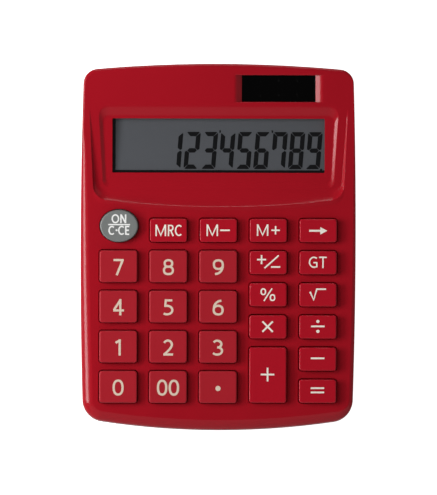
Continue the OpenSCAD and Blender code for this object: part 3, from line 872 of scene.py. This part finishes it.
def window():
    low, high = deck_box("display_window")
    shape = Shape()
    rings = []
    for grow, z in ((-0.15, BLOCK_Z), (0, BLOCK_Z + 0.15), (0, LENS_TOP_Z - 0.15), (-0.15, LENS_TOP_Z)):
        loop = rounded_rect(low[0] - grow, high[0] + grow, low[1] - grow, high[1] + grow, 0.6, 0.6)
        rings.append([(*p, z) for p in loop])
    shape.close(shape.loft(rings))
    shape.piece("display_lens", "housing", CLEAR, "clear_window", replaces="display_window")


def solar_panel():
    """The dark cell on its backing plate: four panes that meet at hairline grooves."""
    low, high = deck_box("solar_cell")
    shape = Shape()
    glass = [(low[0] + 0.8, high[0] - 0.8), (low[1] + 0.6, high[1] - 0.6)]
    top = -SOLAR_D - 0.05
    edges = [mix(*glass[0], i / 4) for i in range(5)]
    for x0, x1 in zip(edges, edges[1:]):
        cell = [rounded_rect(x0 + g, x1 - g, glass[1][0] + g, glass[1][1] - g, 0.1, 0.1, 2, 3, 3)
                for g in (0, 0, SOLAR_GROOVE)]
        heights = (-WALL + 0.02, top - SOLAR_GROOVE, top)
        shape.close(shape.loft([[(*p, z) for p in loop] for loop, z in zip(cell, heights)]))
    plate = rounded_rect(low[0], high[0], low[1], high[1], 0.4, 0.4, 3)
    shape.close(shape.loft(at_heights(plate, (low[2], -WALL - 0.03))))
    shape.piece("solar_panel", "housing", SOLAR, "solar_glass", replaces="solar_cell")


# ---- Drawn marks: legends and display digits ----


def marks(name, body, polygons, height, thickness, finish, slot):
    """One clean raised print from overlapping polygons, at a height given by (x, y)."""
    coords, faces = [], []
    for polygon in polygons:
        turn = sum(a[0] * b[1] - b[0] * a[1] for a, b in zip(polygon, polygon[1:] + polygon[:1]))
        polygon = polygon if turn > 0 else polygon[::-1]
        faces.append(list(range(len(coords), len(coords) + len(polygon))))
        coords += [Vector(p) for p in polygon]
    points, _, triangles, _, _, sources = delaunay_2d_cdt(coords, [], faces, 0, 1e-5)
    kept = [t for t, source in zip(triangles, sources) if source]
    shape = Shape()
    top = shape.ring([(x, y, height(x, y)) for x, y in points])
    low = shape.ring([(x, y, height(x, y) - thickness) for x, y in points])
    edges = [edge for a, b, c in kept for edge in ((a, b), (b, c), (c, a))]
    both_ways = set(edges)
    for a, b, c in kept:
        shape.faces += [(top[a], top[b], top[c]), (low[c], low[b], low[a])]
    shape.faces += [(top[b], top[a], low[a], low[b]) for a, b in edges if (b, a) not in both_ways]
    shape.piece(name, body, finish, slot)


def stroke(path, width, closed=False):
    """Quads along a path of points, each as wide as the pen."""
    path = [Vector(p) for p in path]
    count = len(path)
    left, right = [], []
    for i, p in enumerate(path):
        before = path[i - 1] if closed or i else None
        after = path[(i + 1) % count] if closed or i < count - 1 else None
        ways = [(b - a).normalized() for a, b in ((before, p), (p, after)) if a and b]
        way = sum(ways, Vector((0, 0))).normalized()
        side = Vector((-way.y, way.x)) * width / 2 / max(0.6, way.dot(ways[0]))
        left.append(p + side)
        right.append(p - side)
    quads = []
    for i in range(count if closed else count - 1):
        j = (i + 1) % count
        quads.append([right[i], right[j], left[j], left[i]])
    return quads


def arc(cx, cy, rx, ry, start, end, count=20):
    turns = [math.radians(mix(start, end, i / count)) for i in range(count + 1)]
    return [(cx + rx * math.cos(t), cy + ry * math.sin(t)) for t in turns]


def bend(a, b, c, d, count=12):
    """A cubic curve from a to d that heads for b and comes from c."""
    points = []
    for i in range(count + 1):
        t = i / count
        k = ((1 - t) ** 3, 3 * t * (1 - t) ** 2, 3 * t * t * (1 - t), t ** 3)
        points.append(tuple(sum(w * p[n] for w, p in zip(k, (a, b, c, d))) for n in (0, 1)))
    return points


def oval(cx, cy, rx, ry, count=32, square=2.3):
    """A closed, slightly squared oval."""
    points = []
    for i in range(count):
        t = 2 * math.pi * i / count
        c, s = math.cos(t), math.sin(t)
        points.append((cx + rx * math.copysign(abs(c) ** (2 / square), c),
                       cy + ry * math.copysign(abs(s) ** (2 / square), s)))
    return points


def lines(*paths):
    return [(path, False) for path in paths]


def loops(*paths):
    return [(path, True) for path in paths]


SIX = loops(oval(0.5, 0.31, 0.5, 0.31)) + lines(
    bend((0.86, 0.985), (0.42, 0.97), (0.0, 0.78), (0.0, 0.33)))
STEMS = lines([(0.0, -0.08), (0.0, 1.08)], [(1.0, -0.08), (1.0, 1.08)])

# Centre lines in a unit box: (path, closed)
GLYPHS = {
    "0": loops(oval(0.5, 0.5, 0.5, 0.5)),
    "1": lines([(0.66, -0.08), (0.66, 1.08)], [(0.66, 1.0), (0.2, 0.82)]),
    "2": lines(arc(0.47, 0.71, 0.45, 0.29, 155, -20)
               + bend((0.89, 0.61), (0.8, 0.42), (0.4, 0.2), (0.08, 0.02))[1:], [(-0.04, 0), (1.06, 0)]),
    "3": lines(arc(0.42, 0.755, 0.46, 0.245, 150, -90), arc(0.40, 0.265, 0.56, 0.265, 90, -145)),
    "4": lines([(0.70, 1), (0.0, 0.29)], [(-0.08, 0.27), (1.14, 0.27)], [(0.72, -0.08), (0.72, 1.08)]),
    "5": lines([(0.95, 1), (0.16, 1)], [(0.22, 1.08), (0.16, 0.53)],
               arc(0.36, 0.305, 0.60, 0.305, 112, -128)),
    "6": SIX,
    "7": lines([(-0.06, 1), (1.08, 1)], [(0.98, 1.02), (0.30, -0.09)]),
    "8": loops(oval(0.5, 0.765, 0.42, 0.235), oval(0.5, 0.27, 0.5, 0.27)),
    "9": [([(1 - x, 1 - y) for x, y in path], closed) for path, closed in SIX],
    "C": lines(arc(0.60, 0.5, 0.60, 0.5, 48, 312)),
    "E": lines([(0, -0.07), (0, 1.07)], [(0, 0), (1, 0)], [(0, 0.52), (0.92, 0.52)], [(0, 1), (1, 1)]),
    "G": lines(arc(0.56, 0.5, 0.56, 0.5, 50, 298), [(0.92, -0.02), (0.92, 0.50)],
               [(0.5, 0.46), (1.0, 0.46)]),
    "M": STEMS + lines([(0.02, 1.05), (0.5, 0.0), (0.98, 1.05)]),
    "N": STEMS + lines([(0.03, 1.05), (0.97, -0.05)]),
    "O": loops(oval(0.5, 0.5, 0.5, 0.5, square=2.1)),
    "R": lines([(0.0, -0.08), (0.0, 1.0)] + arc(0.50, 0.755, 0.36, 0.245, 90, -90) + [(0, 0.51)],
               [(0.42, 0.51), (0.96, -0.08)]),
    "T": lines([(-0.08, 1), (1.08, 1)], [(0.5, 1), (0.5, -0.08)]),
}


def write(glyph, x, y, w, h, pen):
    """Quads of a glyph whose ink about fills a box centred on (x, y)."""
    w, h = w - pen, h - pen
    quads = []
    for path, closed in GLYPHS[glyph]:
        placed = [(x + (px - 0.5) * w, y + (py - 0.5) * h) for px, py in path]
        quads += stroke(placed, pen, closed)
    return quads


def bar(x0, y0, x1, y1, pen):
    return stroke([(x0, y0), (x1, y1)], pen)


def plus(x, y, arm, pen):
    return bar(x - arm, y, x + arm, y, pen) + bar(x, y - arm, x, y + arm, pen)


def dot(x, y, r):
    return [[(px, py) for px, py, _ in circle(x, y, r, 0, 24)]]


def capital(glyph, x, y, w):
    return write(glyph, x, y, w, LETTER_H, LETTER_PEN)


def small_capital(glyph, x, y, w, h=3.45):
    return write(glyph, x, y, w, h, 0.55)


DIGIT_W, DIGIT_H, DIGIT_PEN, DIGIT_Y = 4.15, 6.05, 0.82, -0.2
LETTER_H, LETTER_PEN = 4.25, 0.53
SIGN_PEN = 0.64
INK_RISE, INK_T = 0.03, 0.06


def legend(key):
    """The strokes on a key, around its centre."""
    digit = key.replace("key_", "")
    if digit == "00":
        return [q for x in (-2.2, 2.2) for q in write("0", x, DIGIT_Y, 3.95, DIGIT_H, 0.85)]
    if digit in GLYPHS:
        return write(digit, 0, DIGIT_Y, DIGIT_W, DIGIT_H, DIGIT_PEN)
    pen = SIGN_PEN
    drawn = {
        "key_point": dot(0.05, -0.45, 0.98),
        "key_on_clear": small_capital("O", -1.4, 2.75, 2.9, 3.4)
        + small_capital("N", 1.55, 2.75, 2.3, 3.4) + bar(-4.1, 0.55, 4.1, 0.55, 0.5)
        + small_capital("C", -2.85, -1.6, 2.35) + dot(-0.95, -1.55, 0.4)
        + small_capital("C", 0.8, -1.6, 2.4) + small_capital("E", 3.15, -1.6, 1.85),
        "key_memory_recall": capital("M", -2.9, 0, 4.0) + capital("R", 0.95, 0, 2.4)
        + capital("C", 3.7, 0, 2.7),
        "key_memory_minus": capital("M", -2.3, 0.1, 4.3) + bar(0.6, 0.1, 4.3, 0.1, 0.58),
        "key_memory_plus": capital("M", -2.15, 0.2, 4.3) + plus(2.7, 0.15, 1.6, 0.56),
        "key_backspace": bar(-3.4, 0, 1.1, 0, 0.72) + [[(0.75, -1.4), (3.4, 0), (0.75, 1.4)]],
        "key_sign": plus(-2.5, 1.2, 1.7, 0.6) + bar(-1.4, -2.0, 3.9, 2.75, 0.56)
        + bar(1.05, -1.55, 4.5, -1.55, 0.6),
        "key_grand_total": capital("G", -1.75, 0.25, 3.5) + capital("T", 1.8, 0.25, 3.0),
        "key_percent": stroke(oval(-1.8, 1.2, 0.82, 1.05), 0.52, True)
        + stroke(oval(1.65, -1.0, 0.82, 1.05), 0.52, True) + bar(-1.55, -2.25, 1.45, 2.45, 0.5),
        "key_root": stroke([(-3.2, 0.75), (-2.8, 0.95), (-1.65, -1.8), (-0.45, 2.2), (3.0, 2.2)], 0.6),
        "key_multiply": bar(-2.1, -1.8, 1.8, 2.1, pen) + bar(-2.1, 2.1, 1.8, -1.8, pen),
        "key_divide": bar(-2.55, 0.3, 2.55, 0.3, pen) + dot(0, 2.15, 0.6) + dot(0, -1.55, 0.6),
        "key_plus": plus(-0.1, 0.25, 2.55, pen),
        "key_minus": bar(-2.6, 0.35, 2.5, 0.35, pen),
        "key_equals": bar(-2.6, 1.2, 2.45, 1.2, pen) + bar(-2.6, -0.4, 2.45, -0.4, pen),
    }
    return drawn[key]


def key_legend(key):
    x, y, _, _ = key_plan(key)
    polygons = [[(x + p[0], y + p[1]) for p in polygon] for polygon in legend(key)]
    marks(key.replace("key_", "legend_"), key, polygons,
          lambda px, py: key_height(key, px, py) + INK_RISE, INK_T, key_finish(key)[2], "white_plastic")


# Segments lit for each digit, by their usual letters; the seven keeps its left upper stroke
SEGMENTS = {1: "bc", 2: "abged", 3: "abgcd", 4: "fgbc", 5: "afgcd", 6: "afgedc", 7: "fabc",
            8: "abcdefg", 9: "abcdfg"}
LCD_PITCH, LCD_W, LCD_H, LCD_PEN = 6.52, 5.4, 13.9, 1.65
LCD_SLANT = math.tan(math.radians(4.5))
LCD_RIGHT_GAP, LCD_FRONT_GAP = 0.7, 1.35
# Painted shade: widths of the dark bars at the front and left of the window, and how far they reach
# under its edge
LCD_SHADE_FRONT, LCD_SHADE_LEFT = 1.2, 1.5
LCD_SHADE_UNDER = 0.3


def segment(letter):
    """Outline of one segment of a digit whose lower left corner is at the origin."""
    w, h, s, g, c = LCD_W, LCD_H, LCD_PEN, 0.1, 0.35
    m = h / 2
    if letter in "ad":
        outline = [(c, h - c * 0.6), (c + 0.35, h), (w - c - 0.35, h), (w - c, h - c * 0.6),
                   (w - s, h - s), (s, h - s)]
    elif letter == "g":
        outline = [(s * 0.55, m), (s, m + s / 2), (w - s, m + s / 2), (w - s * 0.55, m),
                   (w - s, m - s / 2), (s, m - s / 2)]
    else:
        outline = [(0, m + g + s * 0.25), (s * 0.4, m + g), (s, m + s / 2 + g),
                   (s, h - s - g), (c * 0.5, h - c - g), (0, h - c - g - 0.3)]
    if letter in "bc":
        outline = [(w - x, y) for x, y in outline]
    if letter in "cde":
        outline = [(x, h - y) for x, y in outline]
    return outline


def lcd_digits():
    """The digits with their marks, and painted shade: dark bars at the front and left of the window,
    where its walls cast shadow on the panel.
    """
    low, high = deck_box("display_window")
    west, east = low[0] + LENS_LIP, high[0] - LENS_LIP
    front, rear = low[1] + LENS_LIP, high[1] - LENS_LIP
    base = front + LCD_FRONT_GAP
    panel_top = deck_box("lcd_panel")[1][2]
    polygons = []
    for digit, letters in SEGMENTS.items():
        start = east - LCD_RIGHT_GAP - LCD_W - LCD_SLANT * LCD_H - (9 - digit) * LCD_PITCH
        shapes = [segment(letter) for letter in letters]
        if digit in (3, 6):  # the slanted tick that parts the thousands
            shapes.append([(LCD_W + 0.55, LCD_H - 0.5), (LCD_W + 1.0, LCD_H - 0.2),
                           (LCD_W + 0.95, LCD_H + 0.6), (LCD_W + 0.3, LCD_H + 0.6)])
        if digit == 9:
            shapes += dot(LCD_W + 0.55, -0.25, 0.42)
        polygons += [[(start + x + LCD_SLANT * y, base + y) for x, y in shape] for shape in shapes]
    # Painted shade: dark bars along the front and left of the window stand in for the shadow that its
    # walls cast on the panel
    under = LCD_SHADE_UNDER
    x0, x1, y0, y1 = west - under, east + under, front - under, rear + under
    for right, back in ((x1, y0 + LCD_SHADE_FRONT), (x0 + LCD_SHADE_LEFT, y1)):
        polygons.append([(x0, y0), (right, y0), (right, back), (x0, back)])
    marks("lcd_digits", "housing", polygons, lambda x, y: panel_top + 0.04, 0.03, LCD_INK, "lcd_glass")


# ---- Stage: floor, lights and camera ----

# The camera's distance, view height and aim in metres, and its lean to the left and roll in degrees
CAMERA_DISTANCE = 5.0
VIEW_HEIGHT = 0.1852
AIM_X, AIM_Y = 0.00008, -0.00015
CAMERA_SIDE = 1.0
CAMERA_ROLL = 0.15

FLOOR_HALF = 4
SURROUND, BACKDROP = 0.056, 1.1


def stage():
    """A white floor that stays white where the object shades it, and is clear from below."""
    mesh = bpy.data.meshes.new("floor")
    corners = [(x * FLOOR_HALF, y * FLOOR_HALF, 0) for x, y in ((-1, -1), (1, -1), (1, 1), (-1, 1))]
    mesh.from_pydata(corners, [], [(0, 1, 2, 3)])
    floor = new_object("floor", mesh)
    made, nodes, links = new_material("floor_white")
    shader = nodes["Principled BSDF"]
    shader.inputs["Base Color"].default_value = (0.8, 0.8, 0.8, 1)
    shader.inputs["Roughness"].default_value = 1.0
    shader.inputs["Emission Color"].default_value = (1, 1, 1, 1)
    rays = nodes.new("ShaderNodeLightPath")
    links.new(rays.outputs["Is Camera Ray"], shader.inputs["Emission Strength"])
    side = nodes.new("ShaderNodeNewGeometry")
    clear = nodes.new("ShaderNodeBsdfTransparent")
    either = nodes.new("ShaderNodeMixShader")
    links.new(side.outputs["Backfacing"], either.inputs["Fac"])
    links.new(shader.outputs["BSDF"], either.inputs[1])
    links.new(clear.outputs["BSDF"], either.inputs[2])
    links.new(either.outputs["Shader"], nodes["Material Output"].inputs["Surface"])
    mesh.materials.append(made)


def world():
    """White behind the object, and a dim grey surround for its reflections."""
    made = bpy.data.worlds.new("studio")
    bpy.context.scene.world = made
    made.use_nodes = True
    nodes, links = made.node_tree.nodes, made.node_tree.links
    rays = nodes.new("ShaderNodeLightPath")
    strength = nodes.new("ShaderNodeMapRange")
    strength.inputs["To Min"].default_value = SURROUND
    strength.inputs["To Max"].default_value = BACKDROP
    links.new(rays.outputs["Is Camera Ray"], strength.inputs["Value"])
    links.new(strength.outputs["Result"], nodes["Background"].inputs["Strength"])
    nodes["Background"].inputs["Color"].default_value = (1, 1, 1, 1)


def softbox(name, turn, rise, distance, size, power, shine=True):
    """A rectangular lamp aimed at the object, placed by its turn from +X and its rise in degrees."""
    lamp = bpy.data.lights.new(name, "AREA")
    lamp.shape = "RECTANGLE"
    lamp.size, lamp.size_y = size
    lamp.energy = power
    made = new_object(name, lamp)
    a, e = math.radians(turn), math.radians(rise)
    way = Vector((math.cos(a) * math.cos(e), math.sin(a) * math.cos(e), math.sin(e)))
    made.location = way * distance
    made.rotation_euler = (-way).to_track_quat("-Z", "Y").to_euler()
    made.visible_camera = False
    made.visible_glossy = shine


def lights():
    softbox("left_softbox", 180, 28, 0.6, (0.42, 0.17), 2.6)
    softbox("left_high", 155, 48, 0.6, (0.35, 0.3), 1.5, shine=False)
    softbox("right_card", 5, 22, 1.0, (2.2, 1.1), 1.9)
    softbox("rear_card", 90, 18, 1.0, (0.5, 0.22), 1.3)
    softbox("front_card", 270, 25, 1.0, (2.2, 1.4), 4.6)


def camera():
    """A long lens far above the deck, so the view is almost without perspective."""
    data = bpy.data.cameras.new("camera")
    data.lens = data.sensor_width * CAMERA_DISTANCE / VIEW_HEIGHT
    made = new_object("camera", data)
    side = math.radians(CAMERA_SIDE)
    made.location = (AIM_X - CAMERA_DISTANCE * math.sin(side), AIM_Y,
                     DECK_MID * MM + CAMERA_DISTANCE * math.cos(side))
    made.rotation_euler = (0, -side, 0)
    made.rotation_euler.rotate_axis("Z", math.radians(CAMERA_ROLL))
    bpy.context.scene.camera = made
    bpy.context.scene.view_settings.view_transform = "Standard"


camera()
stage()
world()
lights()
finish_cad_nodes()
top_shell()
bottom_shell()
battery_door()
feet()
window()
solar_panel()
lcd_digits()
for key_name in KEYS:
    keycap(key_name)
    key_legend(key_name)
